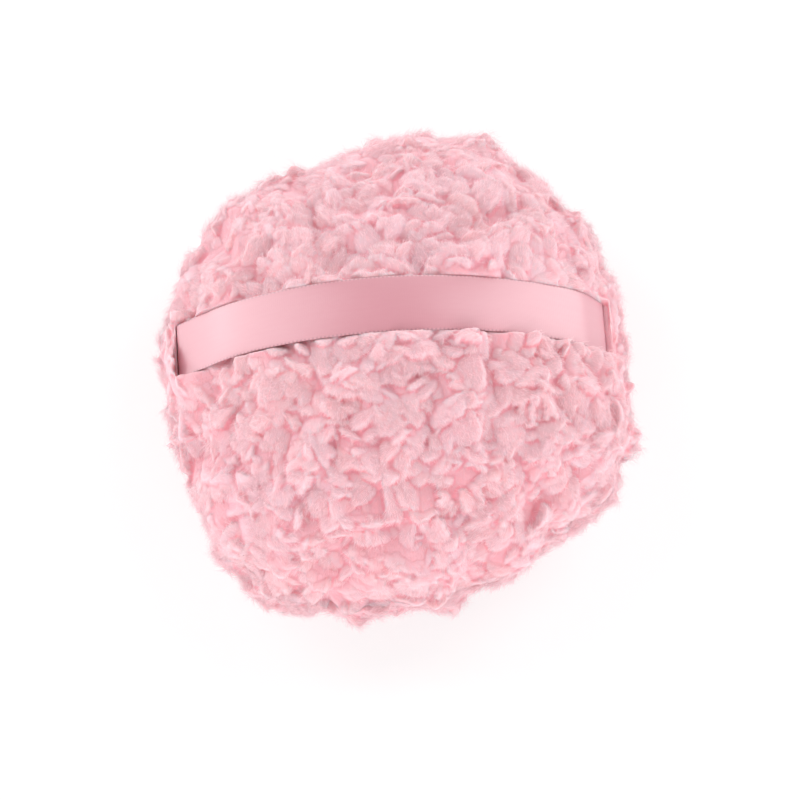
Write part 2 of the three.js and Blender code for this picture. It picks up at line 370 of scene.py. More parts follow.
def remesh(piece, grain):
    activate(piece)
    piece.data.remesh_voxel_size = grain
    piece.data.use_remesh_preserve_volume = False
    bpy.ops.object.voxel_remesh()


def unit(vectors):
    return vectors / np.maximum(np.linalg.norm(vectors, axis=-1, keepdims=True), 1e-12)


def across(vectors, normals):
    """The part of each vector that lies in the surface, as a unit vector."""
    return unit(vectors - (vectors * normals).sum(-1, keepdims=True) * normals)


def grown(values, start, span):
    """How far each value has got from the start on over the span, from 0 to 1."""
    return np.clip((values - start) / span, 0, 1)


def point_tree(points):
    """A search tree of the points, which numbers them in their order."""
    tree = KDTree(len(points))
    for i, point in enumerate(points):
        tree.insert(point, i)
    tree.balance()
    return tree


def surface_tree(piece):
    return BVHTree.FromPolygons(points_of(piece).tolist(), triangles_of(piece).tolist())


def nearest(tree, points):
    """The nearest point of the surface to each point, with the surface's normal there."""
    found = [tree.find_nearest(point)[:2] for point in points.tolist()]
    places, normals = zip(*found)
    return np.array(places), np.array(normals)


class StrapLine:
    """The middle line of the ribbon's loop: a flat arc over the crown, then a crease and a steep fall."""

    LEFT = -59.1 * MM  # where the ribbon's two ends go down to the seam
    RIGHT = 56.7 * MM
    DRIFT = -1.5 * MM  # the hand-sewn strap lies this far to the left
    CROWN_RADIUS = 84 * MM
    CREASES = (-48.5 * MM, 52 * MM)  # where the bends lie, at the left and the right
    SOFTNESS = 0.9 * MM  # of each bend
    SLOPES = (1.0, 1.7)  # how steeply the ribbon falls outside each of them
    WALL = 40  # how steeply its ends fall to the seam
    BOW = 0.6 * MM  # how far the edges lie below the middle of the ribbon's width
    STATIONS = 240  # points along the loop
    BEND_RADIUS = 2.5 * MM  # of the bends from its ends into the tails
    BEND_POINTS = 7
    BEND_GAP = 0.5 * MM  # between each bend and the lowest point of the loop

    CLEARANCE = 0.3 * MM  # from the ribbon's middle to the pile that it lies on
    SLITS = (0.8 * MM, 1.9 * MM)  # how far the pile stays clear of the ribbon's left and right ends
    SLIT_SIDE = 1 * MM  # how far those slits reach past the ribbon's edges
    SLIT_MARGIN = 0.5 * MM  # how far the pile beside a slit counts as part of it
    SLIT_FLOORS = (7.5 * MM, 5 * MM)  # how high the pile stands in the slits, above the seam
    SLOT_CLEARANCE = 0.2 * MM  # from the ribbon's ends to the pile outside them
    SLOT_REACH = 2 * MM  # the slot's outer side lies less than this past the loop's end in the CAD model
    SLOT_SHIFT = LEFT - LOOP_LOW.x - 0.3 * MM  # takes the left slot to where the ribbon's end lies

    # The points of a slot's outer wall, and those of the brink above it
    WALL_SIDE = 0.6 * MM  # how far they lie past the ribbon's edges, at most
    WALL_REACH = 0.9 * MM  # how far the wall's lie past the ribbon's end, at most
    WALL_DROP = 0.3 * MM  # how far the wall's lie below the slit's floor, at least
    BRINK = (-0.1 * MM, 0.5 * MM)  # how far the brink's lie past the ribbon's end

    # The pile that moves with the left slot, and how far inside these limits it moves in full
    MOVED_FROM, MOVED_TO, MOVED_SIDE = -66 * MM, -44 * MM, 6 * MM
    RIM_EASE, MIDDLE_EASE, SIDE_EASE = 5 * MM, 8 * MM, 4 * MM

    @classmethod
    def arc(cls, x):
        """Height of the arc over the crown."""
        return LOOP_HIGH.z - cls.CROWN_RADIUS + np.sqrt(cls.CROWN_RADIUS**2 - (x - cls.DRIFT) ** 2)

    @classmethod
    def height(cls, x):
        """Height of the ribbon's middle line over each x between its two ends."""
        x = np.clip(x, cls.LEFT, cls.RIGHT)
        lines = [cls.arc(x)]
        for side, crease, slope, end in zip((-1, 1), cls.CREASES, cls.SLOPES, (cls.LEFT, cls.RIGHT)):
            lines.append(cls.arc(crease) + side * (crease - x) * slope)
            lines.append(LOOP_LOW.z + side * (end - x) * cls.WALL)
        lowest = np.min(lines, axis=0)
        return lowest - cls.SOFTNESS * np.log(sum(np.exp((lowest - line) / cls.SOFTNESS) for line in lines))

    @classmethod
    def sag(cls, y):
        """How far the ribbon's edges lie below its middle, for it bows across its width."""
        return cls.BOW * np.clip((y - STRAP_MIDDLE) / HALF_RIBBON, -1, 1) ** 2

    @classmethod
    def ceiling(cls, points, margin):
        """How high the pile may stand at each point: below the ribbon, or as it likes beside it."""
        x, y = points[:, 0], points[:, 1]
        beside = np.abs(y - STRAP_MIDDLE) >= HALF_RIBBON + margin
        past_end = np.maximum(cls.LEFT - x, x - cls.RIGHT)
        under = cls.height(x) - cls.sag(y) - cls.CLEARANCE
        ceiling = np.where(past_end < 0, under, LOOP_LOW.z + np.where(x < 0, *cls.SLIT_FLOORS))
        return np.where(beside | (past_end > np.where(x < 0, *cls.SLITS)), np.inf, ceiling)

    @classmethod
    def in_slits(cls, points):
        """Which points lie in or beside the slits outside the ribbon's two ends."""
        x, y = points[:, 0], points[:, 1]
        past_end = np.maximum(cls.LEFT - x, x - cls.RIGHT)
        along = np.abs(y - STRAP_MIDDLE) < HALF_RIBBON + cls.SLIT_SIDE
        reach = np.where(x < 0, *cls.SLITS) + cls.SLIT_MARGIN
        return along & (past_end > -cls.SLIT_MARGIN) & (past_end < reach)

    @classmethod
    def drawn_to_ends(cls, points):
        """The points, with the outer wall of each slot drawn up to the ribbon's end."""
        x, y, z = points.T
        along = np.abs(y - STRAP_MIDDLE) < HALF_RIBBON + cls.WALL_SIDE
        for end, side, floor in zip((cls.LEFT, cls.RIGHT), (-1, 1), cls.SLIT_FLOORS):
            past_end = (x - end) * side
            deep = z < LOOP_LOW.z + floor - cls.WALL_DROP
            wall = along & (past_end > 0) & (past_end < cls.WALL_REACH) & deep
            brink = along & (past_end > cls.BRINK[0]) & (past_end < cls.BRINK[1])
            points[wall | brink, 0] = end + side * cls.SLOT_CLEARANCE
        return points

    @classmethod
    def left_slot_moved(cls, points):
        """The points, with the slot that the ribbon's left end goes down moved to where that end lies."""
        x, y, _ = points.T
        from_middle = grown(cls.MOVED_TO - x, 0, cls.MIDDLE_EASE)
        from_rim = grown(x, cls.MOVED_FROM, cls.RIM_EASE)
        along = grown(HALF_RIBBON + cls.MOVED_SIDE - np.abs(y - STRAP_MIDDLE), 0, cls.SIDE_EASE)
        shift = cls.SLOT_SHIFT * from_middle * from_rim * along
        return points + shift[:, None] * [1, 0, 0]

    @classmethod
    def path(cls):
        """The whole ribbon's middle line, from the end of its left tail to that of its right one."""
        x = np.linspace(cls.LEFT, cls.RIGHT, 10 * cls.STATIONS)
        fine = np.stack([x, np.full_like(x, STRAP_MIDDLE), cls.height(x)], 1)
        along = np.concatenate([[0], np.cumsum(np.linalg.norm(np.diff(fine, axis=0), axis=1))])
        even = np.linspace(0, along[-1], cls.STATIONS)
        loop = np.stack([np.interp(even, along, fine[:, axis]) for axis in range(3)], 1)
        tail_height = (TAIL_LOW.z + TAIL_HIGH.z) / 2
        loop = loop[loop[:, 2] > tail_height + cls.BEND_RADIUS + cls.BEND_GAP]
        turns = np.linspace(math.pi / 2, 0, cls.BEND_POINTS)
        upward = tail_height + cls.BEND_RADIUS * (1 - np.sin(turns))
        bends = []
        for side, riser in ((1, cls.LEFT), (-1, cls.RIGHT)):
            inward = riser + side * cls.BEND_RADIUS * (1 - np.cos(turns))
            bends.append(np.stack([inward, np.full_like(turns, STRAP_MIDDLE), upward], 1))
        ends = [np.array([[x, STRAP_MIDDLE, tail_height]]) for x in (LEFT_TAIL_HIGH.x, TAIL_LOW.x)]
        return np.concatenate([ends[0], bends[0], loop, bends[1][::-1], ends[1]])


class TipSurface:
    """The outer face of one panel's CAD pile, where the tips of its locks end."""

    FACING = 0.5  # least cosine between a face's normal and the way outwards from the cloth
    CROWD = 6  # random points to choose from, for each square as wide as the spacing

    def __init__(self, panel):
        pile = copy_of_node(f"{panel}_fleece", "tip_surface")
        self.cloth = surface_tree(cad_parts[f"{panel}_backing_cloth"])
        corners = points_of(pile)[triangles_of(pile)]
        facing = np.cross(corners[:, 1] - corners[:, 0], corners[:, 2] - corners[:, 0])
        middle = corners.mean(1)
        outward = unit(middle - nearest(self.cloth, middle)[0])
        shown = (unit(facing) * outward).sum(-1) > self.FACING
        self.corners = corners[shown]
        self.areas = np.linalg.norm(facing[shown], axis=-1) / 2
        flat = self.corners.reshape(-1, 3)
        order = np.arange(len(flat)).reshape(-1, 3)
        self.tree = BVHTree.FromPolygons(flat.tolist(), order.tolist())
        bpy.data.objects.remove(pile)

    def scatter(self, count, rng):
        """Random points spread evenly over the face."""
        faces = rng.choice(len(self.areas), count, p=self.areas / self.areas.sum())
        u, v = rng.random((2, count, 1))
        u, v = np.where(u + v > 1, 1 - u, u), np.where(u + v > 1, 1 - v, v)
        a, b, c = self.corners[faces].transpose(1, 0, 2)
        return a + u * (b - a) + v * (c - a)

    def spaced(self, spacing, rng):
        """Random points on the face, no two nearer than the spacing."""
        crowd = self.scatter(int(self.CROWD * self.areas.sum() / spacing**2), rng)
        tree = point_tree(crowd)
        free = np.ones(len(crowd), bool)
        chosen = []
        for i, point in enumerate(crowd):
            if free[i]:
                chosen.append(i)
                free[[j for _, j, _ in tree.find_range(point, spacing)]] = False
        return crowd[chosen]


LOCK_SIDES = 8

# Half widths of the three kinds of lock at heights up to their tips, as shares of the lock's own
NUB_SHARES = ((0, 0.8), (0.25, 0.95), (0.5, 1.0), (0.75, 1.0), (0.92, 0.76), (1, 0.3))
PETAL_SHARES = ((0, 0.75), (0.22, 0.95), (0.45, 1.0), (0.7, 0.9), (0.9, 0.56), (1, 0.2))
FLAME_SHARES = ((0, 1.0), (0.2, 1.0), (0.42, 0.86), (0.64, 0.64), (0.86, 0.38), (1, 0.12))

LOCK_KINDS = (("nub", NUB_SHARES), ("petal", PETAL_SHARES), ("flame", FLAME_SHARES))
KIND_SHARES = (0.35, 0.5, 0.15)  # how many of the locks are of each kind


def model_lock(name, shares):
    """Models one kind of lock, a closed spindle that stands 1 m tall on the origin, and gives its mesh."""
    deselect()
    bpy.ops.mesh.primitive_circle_add(vertices=LOCK_SIDES, radius=shares[0][1], fill_type="NGON")
    lock = bpy.context.object
    lock.name = name
    edit_all(lock)
    for (low, before), (high, after) in zip(shares, shares[1:]):
        bpy.ops.mesh.extrude_region_move(TRANSFORM_OT_translate={"value": (0, 0, high - low)})
        bpy.ops.transform.resize(value=(after / before, after / before, 1))
    bpy.ops.mesh.merge(type="CENTER")
    bpy.ops.mesh.select_all(action="SELECT")
    bpy.ops.mesh.normals_make_consistent(inside=False)
    bpy.ops.object.mode_set(mode="OBJECT")
    points, triangles = points_of(lock), triangles_of(lock)
    bpy.data.objects.remove(lock)
    return points, triangles


def bend_along(points, root, middle, tip, side, width, depth):
    """Copies of a standing shape, each bent along its own curve from root to tip."""
    t = points[None, :, 2:3]
    root, middle, tip, side = (vectors[:, None, :] for vectors in (root, middle, tip, side))
    spine = (1 - t) ** 2 * root + 2 * (1 - t) * t * middle + t**2 * tip
    ahead = unit(2 * (1 - t) * (middle - root) + 2 * t * (tip - middle))
    right = across(side, ahead)
    front = np.cross(ahead, right)
    wide = width[:, None, None] * points[None, :, 0:1]
    deep = depth[:, None, None] * points[None, :, 1:2]
    return spine + wide * right + deep * front


def copies(points_of_each, triangles):
    """All the copies' points and triangles in one list each."""
    count, size = points_of_each.shape[:2]
    shifts = np.arange(count)[:, None, None] * size
    return points_of_each.reshape(-1, 3), (triangles[None] + shifts).reshape(-1, 3)


class Pile:
    """The overlapping locks of one panel's pile, worked out over its tip surface."""

    SWIRL_LENGTH = 62 * MM
    SWIRL_TURNS = [[1.0, 0.7, 0.4], [-0.6, 1.1, 0.5], [0.8, -0.9, 0.7]]
    SWIRL_STARTS = [0.4, 2.1, 4.0]
    CROWN_REACH, RIM_SPAN = 30, 32  # in mm: the lean outwards grows from here on, over this much
    PARTING = 6 * MM  # from the strap's middle to where the pile has turned over
    ROOT_DEPTH = 1.6 * MM  # of the locks' roots below the undercoat
    LOW_RADIUS, LOW_SPAN, LOW_DROP = 48 * MM, 12 * MM, 0.9 * MM  # the locks near the rim lie lower

    # Tufts that stand proud of the strap's front edge: where along it, how far off, and how high
    TUFT_STRETCHES = ((14 * MM, 40 * MM), (45 * MM, 55 * MM))
    TUFT_FRONT, TUFT_REAR, TUFT_GAP, TUFT_RISE = 4 * MM, 3 * MM, 0.8 * MM, 3.2 * MM

    STRAP_MARGIN = 1 * MM  # how far past the ribbon's edges and ends the locks are kept clear of it
    STRAP_SINK = 0.5 * MM  # how far they stay below the ceiling under it
    NESTLE_REACH = 3.5 * MM  # how far from the ribbon's edges the locks rise to its height
    NESTLE_RISE = 5.5 * MM  # at most
    PUSHED = (-1.5 * MM, 0.8 * MM)  # tips this far past an edge are pushed out
    PUSH_GAP = 0.5 * MM  # from the edge to where they go
    PRESS_GAP = 0.1 * MM  # from the strap's edges and from the table to the pressed pile

    def __init__(self, panel, settings, seed):
        self.rng = np.random.default_rng(seed)
        self.settings = settings
        self.panel = panel
        self.surface = TipSurface(panel)
        self.upper = panel == "upper"
        self.plan()

    def swirl(self, places):
        """A slowly turning direction, the same for neighbours."""
        waves = np.array(self.SWIRL_TURNS) * 2 * np.pi / self.SWIRL_LENGTH
        return np.sin(places @ waves.T + np.array(self.SWIRL_STARTS))

    def lean(self, places, normals):
        """Which way the pile lies: away from the strap on the crown and outwards near the rim."""
        plan = places * [1, 1, 0]
        radius = np.linalg.norm(plan, axis=1, keepdims=True)
        near_rim = grown(radius / MM, self.CROWN_REACH, self.RIM_SPAN)
        side = np.clip((places[:, 1:2] - STRAP_MIDDLE) / self.PARTING, -1, 1)
        outward = unit(plan) * (0.25 + 1.1 * near_rim)
        parted = REAR * side * (0.9 - 0.6 * near_rim)
        spread = self.rng.normal(size=places.shape) * 0.2
        return across(outward + parted + self.swirl(places) * 0.5 + spread, normals)

    def plan(self):
        """Sets every lock's curve and size."""
        s, rng = self.settings, self.rng
        clumps = self.surface.spaced(s.clump_spacing, rng)
        _, clump_normals = nearest(self.surface.tree, clumps)
        leans = self.lean(clumps, clump_normals)
        rises = rng.normal(0, 0.3, (len(clumps), 1)) * MM
        reaches = rng.uniform(0.75, 1.25, (len(clumps), 1))

        feet = self.surface.spaced(s.lock_spacing, rng)
        _, normals = nearest(self.surface.tree, feet)
        tree = point_tree(clumps)
        clump = np.array([tree.find(foot)[1] for foot in feet.tolist()])
        count = len(feet)
        lean = across(leans[clump] + rng.normal(size=(count, 3)) * 0.2, normals)
        reach = s.lock_length * reaches[clump] * rng.uniform(0.25, 1.25, (count, 1))
        gather = rng.uniform(0.0, 0.25, (count, 1))
        aimed = feet + lean * reach + (clumps[clump] - feet) * gather
        seats, seat_normals = nearest(self.surface.tree, aimed)
        rise = rises[clump] + rng.normal(-0.8, 0.32, (count, 1)) * MM
        radius = np.linalg.norm(seats[:, :2], axis=1, keepdims=True)
        rise -= self.LOW_DROP * grown(radius, self.LOW_RADIUS, self.LOW_SPAN)
        self.tip = seats + seat_normals * rise
        sunk = s.undercoat_depth + self.ROOT_DEPTH
        self.root = feet - normals * sunk
        bow = rng.uniform(0.25, 0.85, (count, 1))
        bend = rng.uniform(0.1, 0.4, (count, 1))
        self.middle = self.root + normals * sunk * bow + lean * reach * bend
        roll = rng.normal(size=(count, 3)) * 0.3
        self.side = across(np.cross(normals, lean) + roll, normals)
        self.tone = 0.5 * rng.random(count) + 0.5 * rng.random(len(clumps))[clump]
        self.width = s.lock_width / 2 * rng.uniform(0.65, 1.3, count)
        self.depth = self.width * rng.uniform(0.17, 0.26, count)
        self.kind = rng.choice(len(LOCK_KINDS), count, p=KIND_SHARES)
        if self.upper:
            self.lift_front_tufts()
            self.nestle_strap()
            self.keep_under_strap()

    def keep_under_strap(self):
        """Presses down the locks that the strap lies on, and parts those beside its ends."""
        gap = self.STRAP_MARGIN
        band = np.abs(self.root[:, 1] - STRAP_MIDDLE) < HALF_RIBBON + gap
        inside = (self.root[:, 0] > StrapLine.LEFT) & (self.root[:, 0] < StrapLine.RIGHT)
        for ends in (self.tip, self.middle):
            ends[:, 2] = np.minimum(ends[:, 2], StrapLine.ceiling(ends, gap) - self.STRAP_SINK)
            x = ends[:, 0]
            kept_in = np.clip(x, StrapLine.LEFT + gap, StrapLine.RIGHT - gap)
            past_left = np.minimum(x, StrapLine.LEFT - gap)
            past_right = np.maximum(x, StrapLine.RIGHT + gap)
            kept_out = np.where(x > 0, past_right, past_left)
            ends[:, 0] = np.where(band, np.where(inside, kept_in, kept_out), x)

    def lift_front_tufts(self):
        """Lifts some tufts in front of the strap's right half, so that they stand proud of it."""
        edge = STRAP_MIDDLE - HALF_RIBBON
        x, y = self.tip[:, 0], self.tip[:, 1]
        near = (y > edge - self.TUFT_FRONT) & (y < edge + self.TUFT_REAR)
        lifted = near & np.any([(x > start) & (x < end) for start, end in self.TUFT_STRETCHES], axis=0)
        self.tip[lifted, 1] = np.minimum(y[lifted], edge - self.TUFT_GAP)
        self.tip[lifted, 2] += self.TUFT_RISE
        self.middle[lifted, 2] += self.TUFT_RISE * 0.7

    def nestle_strap(self):
        """Raises the locks under and along the strap to its own height, so that it lies in the pile."""
        x, y = self.tip[:, 0], self.tip[:, 1]
        outside = np.abs(y - STRAP_MIDDLE) - HALF_RIBBON
        between_ends = (x > StrapLine.LEFT + self.STRAP_MARGIN) & (x < StrapLine.RIGHT - self.STRAP_MARGIN)
        beside = (outside < self.NESTLE_REACH) & between_ends
        level = StrapLine.height(x) + self.rng.uniform(-0.6, 0.5, len(x)) * MM
        for ends, share in ((self.tip, 1.0), (self.middle, 0.6)):
            lacking = np.clip(level - self.tip[:, 2], 0, self.NESTLE_RISE)
            ends[:, 2] += np.where(beside, lacking * share, 0)
        away = np.sign(y - STRAP_MIDDLE) * (HALF_RIBBON + self.PUSH_GAP) + STRAP_MIDDLE
        pushed = beside & (outside > self.PUSHED[0]) & (outside < self.PUSHED[1])
        self.tip[pushed, 1] = away[pushed]

    def pressed(self, points):
        """The points, with those under the strap and on the table pressed flat."""
        if self.upper:
            points[:, 2] = np.minimum(points[:, 2], StrapLine.ceiling(points, self.PRESS_GAP))
        points[:, 2] = np.maximum(points[:, 2], self.PRESS_GAP)
        return points


class LockFace:
    """The locks of both panels together, which each panel's shell is drawn out to."""

    ABOVE = 7 * MM  # every lock's tip lies less than this above the tip surface

    def __init__(self, piles):
        for name in ("root", "middle", "tip", "side", "width", "depth", "kind", "tone"):
            setattr(self, name, np.concatenate([getattr(pile, name) for pile in piles]))
        points, triangles, owners, shift = [], [], [], 0
        for i, (name, shares) in enumerate(LOCK_KINDS):
            shape, faces = model_lock(name, shares)
            mine = np.flatnonzero(self.kind == i)
            curve = (self.root[mine], self.middle[mine], self.tip[mine], self.side[mine])
            bent = bend_along(shape, *curve, self.width[mine], self.depth[mine])
            more_points, more_triangles = copies(bent, faces)
            points.append(more_points)
            triangles.append(more_triangles + shift)
            owners.append(np.repeat(mine, len(faces)))
            shift += len(more_points)
        self.owners = np.concatenate(owners)
        points, triangles = np.concatenate(points), np.concatenate(triangles)
        self.tree = BVHTree.FromPolygons(points.tolist(), triangles.tolist())

    def cast(self, places, outward, depth):
        """How high the outermost lock stands over each place, and which it is, down to the depth."""
        starts = places + outward * self.ABOVE
        tops = np.full(len(places), -depth)
        owners = np.full(len(places), -1)
        for i, (start, ahead) in enumerate(zip(starts.tolist(), (-outward).tolist())):
            _, _, face, distance = self.tree.ray_cast(start, ahead, self.ABOVE + depth)
            if face is not None:
                tops[i] = self.ABOVE - distance
                owners[i] = self.owners[face]
        return tops, owners

    def share(self, points, owners):
        """How far along its lock each point lies."""
        ahead = self.tip[owners] - self.root[owners]
        share = ((points - self.root[owners]) * ahead).sum(1) / (ahead**2).sum(1)
        return np.where(owners < 0, 0, np.clip(share, 0, 1))

    def strand_places(self, points, owners):
        """Each point's place among the strands of its lock: across them, through them and along them."""
        ahead = unit(self.tip - self.root)[owners]
        right = across(self.side[owners], ahead)
        offset = points - self.root[owners]
        return np.stack([(offset * axis).sum(1) for axis in (right, np.cross(ahead, right), ahead)], 1)


FILL_SIDE = 1.2 * MM  # how far a filled slot reaches past the ribbon's edges
FILL_GAP = 0.35 * MM  # from the ribbon's ends to what fills the slots


def fill_slots(body):
    """Fills the slots outside the ribbon's two ends up to the floor of the slits."""
    half = HALF_RIBBON + FILL_SIDE
    left_slot = (LOOP_LOW.x + StrapLine.SLOT_SHIFT - StrapLine.SLOT_REACH, StrapLine.LEFT - FILL_GAP)
    right_slot = (StrapLine.RIGHT + FILL_GAP, LOOP_HIGH.x + StrapLine.SLOT_REACH)
    for (start, end), floor in zip((left_slot, right_slot), StrapLine.SLIT_FLOORS):
        low = Vector((start, STRAP_MIDDLE - half, LOOP_LOW.z))
        high = Vector((end, STRAP_MIDDLE + half, LOOP_LOW.z + floor))
        bpy.ops.mesh.primitive_cube_add(size=1, location=(low + high) / 2, scale=high - low)
        block = bpy.context.object
        activate(body)
        block.select_set(True)
        bpy.ops.object.join()


PILE_FOOT = 2.5 * MM  # the shell nearer to the cloth than this isn't drawn out
SLIT_HEIGHT = 0.2  # how high the pile in the slits counts, from the undercoat's 0 to the tips' 1; this low value paints shade into the slits
TOP_HEIGHT = 1.3  # the most that the pile's height counts


def make_pile(pile, face, settings):
    """One panel's pile: its CAD shell drawn out to the locks, with what its finish needs at each point."""
    body = copy_of_node(f"{pile.panel}_fleece", f"{pile.panel}_pile")
    if pile.upper:
        move_points(body, StrapLine.left_slot_moved(points_of(body)))
        fill_slots(body)
    remesh(body, settings.shell_grain)
    points = points_of(body)
    seats, _ = nearest(pile.surface.cloth, points)
    gap = np.linalg.norm(points - seats, axis=1, keepdims=True)
    outward = (points - seats) / gap
    below = np.linalg.norm(nearest(pile.surface.tree, points)[0] - points, axis=1)
    in_slits = StrapLine.in_slits(points) & pile.upper
    on_face = (below < settings.shell_grain) & ~in_slits
    on_wall = ~on_face & ~in_slits & (below < settings.undercoat_depth) & (gap[:, 0] > PILE_FOOT)
    tops = np.zeros(len(points))
    owners = np.full(len(points), -1)
    for part in (on_face, on_wall):
        tops[part], owners[part] = face.cast(points[part], outward[part], settings.undercoat_depth)
    tops[on_wall] = np.minimum(tops[on_wall], 0)
    points = pile.pressed(points + outward * tops[:, None])
    if pile.upper:
        points = StrapLine.drawn_to_ends(points)
    move_points(body, points)
    edit_all(body)
    bpy.ops.mesh.vertices_smooth(factor=0.5, repeat=2)
    bpy.ops.object.mode_set(mode="OBJECT")
    bpy.ops.object.shade_smooth()

    # painted light and shade: height, fold and share steer the finish from the painted shade colour in
    # hollows and creases to the lit tip colour, with paler ridges
    height = np.clip(1 + tops / settings.undercoat_depth, 0, TOP_HEIGHT)
    # painted shade: the slits count as low pile, so the finish paints them in the deeper shade colour
    height = np.where(in_slits, SLIT_HEIGHT, height)
    write_attribute(body, "height", height)
    write_attribute(body, "fold", folds_of(body))
    write_attribute(body, "share", face.share(points, owners))
    write_attribute(body, "tone", np.where(owners < 0, 0.5, face.tone[owners]))
    layer = body.data.attributes.new("strand", "FLOAT_VECTOR", "POINT")
    layer.data.foreach_set("vector", face.strand_places(points, owners).astype(np.float32).ravel())
    ahead = unit(face.tip - face.middle)[owners]
    return body, make_fibres(pile, points_of(body), normals_of(body), ahead, height * on_face)


FIBRE_PIECES = 3
FIBRE_WIDTH = 0.06 * MM
FIBRE_DEPTH = 0.2 * MM  # how deep they start in the pile
FIBRE_TABLE_GAP = 0.2 * MM
FIBRE_STRAP_MARGIN = 0.4 * MM  # how far past the ribbon's edges they stay below it
FIBRE_LEAST_HEIGHT = 0.2  # of the pile that they stand on
RIM_RADIUS, RIM_SPAN = 46 * MM, 14 * MM  # they get longer from this radius on

# A fibre that stands 1 m tall: a spindle of three sides, widest in its middle
FIBRE_SHAPE = np.array([(0, 0, 0), (0.5, 0, 0.5), (-0.25, 0.43, 0.5), (-0.25, -0.43, 0.5), (0, 0, 1)])
FIBRE_SIDES = np.array([(0, 2, 1), (0, 3, 2), (0, 1, 3), (4, 1, 2), (4, 2, 3), (4, 3, 1)])


def make_fibres(pile, points, normals, ahead, heights):
    """Fine fibres that lie along the locks, stand out at their tips and soften the outline."""
    rng = pile.rng
    rim = grown(np.hypot(points[:, 0], points[:, 1]), RIM_RADIUS, RIM_SPAN)
    faces_down = np.clip(0.4 - 2 * normals[:, 2], 0, 1)
    weight = np.clip(heights - FIBRE_LEAST_HEIGHT, 0, 1) * (1 - 0.75 * faces_down)
    chosen = rng.choice(len(points), pile.settings.stray_fibres, p=weight / weight.sum())
    root, normal = points[chosen], normals[chosen]
    count = len(chosen)
    lie = across(ahead[chosen] + rng.normal(size=(count, 3)) * 0.45, normal)
    length = rng.uniform(1.2, 2.6, (count, 1)) * (1 + 0.5 * rim[chosen, None]) * MM
    lift = rng.uniform(0.08, 0.5, (count, 1))
    middle = root + (normal * lift * 0.9 + lie * 0.45) * length
    tip = root + (normal * lift + lie * 0.9) * length
    clear = np.minimum(middle[:, 2], tip[:, 2]) > FIBRE_TABLE_GAP
    if pile.upper:
        for place in (middle, tip):
            clear &= place[:, 2] < StrapLine.ceiling(place, FIBRE_STRAP_MARGIN)
    root = root - normal * FIBRE_DEPTH
    root, middle, tip, lie = (places[clear] for places in (root, middle, tip, lie))
    count = len(root)
    width = np.full(count, FIBRE_WIDTH)
    side = across(rng.normal(size=(count, 3)), lie)
    bent = bend_along(FIBRE_SHAPE, root, middle, tip, side, width, width)
    tones = rng.random(count)
    pieces = []
    for i in range(FIBRE_PIECES):
        name = f"{pile.panel}_pile_fibres_{i + 1}"
        piece = piece_from(name, *copies(bent[i::FIBRE_PIECES], FIBRE_SIDES))
        write_attribute(piece, "tone", np.repeat(tones[i::FIBRE_PIECES], len(FIBRE_SHAPE)))
        pieces.append(piece)
    return pieces


def fleece_finish(settings):
    """Matt pile with painted light and shade: pale at the tips and out of the hollows, painted shade in
    deeper pink in the creases between the locks, a slightly paler painted highlight on ridges, and fine
    strands along each lock.
    """
    finish = Finish("fleece", roughness=0.9, specular_ior_level=0.2)
    finish.set(subsurface_weight=0.8, subsurface_radius=(1.0, 0.5, 0.48), subsurface_scale=2.5 * MM)
    finish.set(sheen_weight=0.7, sheen_roughness=0.5, sheen_tint=(1.0, 0.74, 0.79, 1))
    patch_size, strand_pitch = 18 * MM, 0.5 * MM
    broad = finish.noise(finish.place(), patch_size)
    lay = finish.attribute("strand", output="Vector")
    strands = finish.noise(finish.scaled(lay, (1, 1, 0.12)), strand_pitch, detail=3.0, roughness=0.6)
    fold = finish.attribute("fold")
    # painted light and shade: the colour moves towards the tip colour out of the hollows and along each
    # lock to its tip, and towards the painted shade colour in creases
    out_of_shade = finish.attribute("height").between(0.05, 0.7) * 0.4
    towards_tip = finish.attribute("share").between(0, 0.8) * 0.2
    reach = 0.4 + (out_of_shade + towards_tip) - fold.between(0.15, 0.9) * 0.55
    # painted highlight: ridges get a little less saturation, so they look paler
    ridge = (0 - fold).between(0.1, 1)
    tone = finish.attribute("tone") - 0.5
    uneven = tone * 0.14 + (broad - 0.5) * 0.25 + (strands - 0.5) * 0.12
    sockets = {
        "Hue": 0.5 - tone * 0.015,
        "Saturation": 1 - uneven - ridge * 0.06,
        "Value": 1 + uneven * 0.2,
        "Color": finish.mixed(reach, settings.root_colour, settings.tip_colour),
    }
    finish.set(base_color=finish.node("ShaderNodeHueSaturation", None, sockets))
    finish.set(normal=finish.bump(strands, strand_pitch, 0.6))
    return finish.material


def fibre_finish(settings):
    """Single fibres, paler than the locks, with a faint painted glow that stands in for the light that
    passes through them.
    """
    finish = Finish("fleece_fibres", roughness=0.8, specular_ior_level=0.2)
    # painted light: a faint emission in the tip colour makes the fibres glow in place of the light that
    # shines through them
    finish.set(emission_color=(*settings.tip_colour, 1), emission_strength=0.27)
    pale = tuple(0.25 + 0.75 * c for c in settings.tip_colour)
    finish.set(base_color=finish.mixed(finish.attribute("tone"), settings.tip_colour, pale))
    return finish.material


class PUFF_OT_pile(bpy.types.Operator):
    """Makes both panels' pile, drawn out to clumped locks, with its stray fibres"""

    bl_idname = "puff.pile"
    bl_label = "Fleece Pile"

    def execute(self, context):
        settings = context.scene.puff_fleece
        fleece, fibre = fleece_finish(settings), fibre_finish(settings)
        piles = [Pile("lower", settings, settings.seed), Pile("upper", settings, settings.seed + 1)]
        face = LockFace(piles)
        for pile in piles:
            body, fibres = make_pile(pile, face, settings)
            for piece in (body, *fibres):
                piece.data.materials.append(fleece if piece is body else fibre)
                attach(piece, "puff")
            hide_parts(f"{pile.panel}_fleece")
        return {"FINISHED"}


SWELL_FRAMES = 20


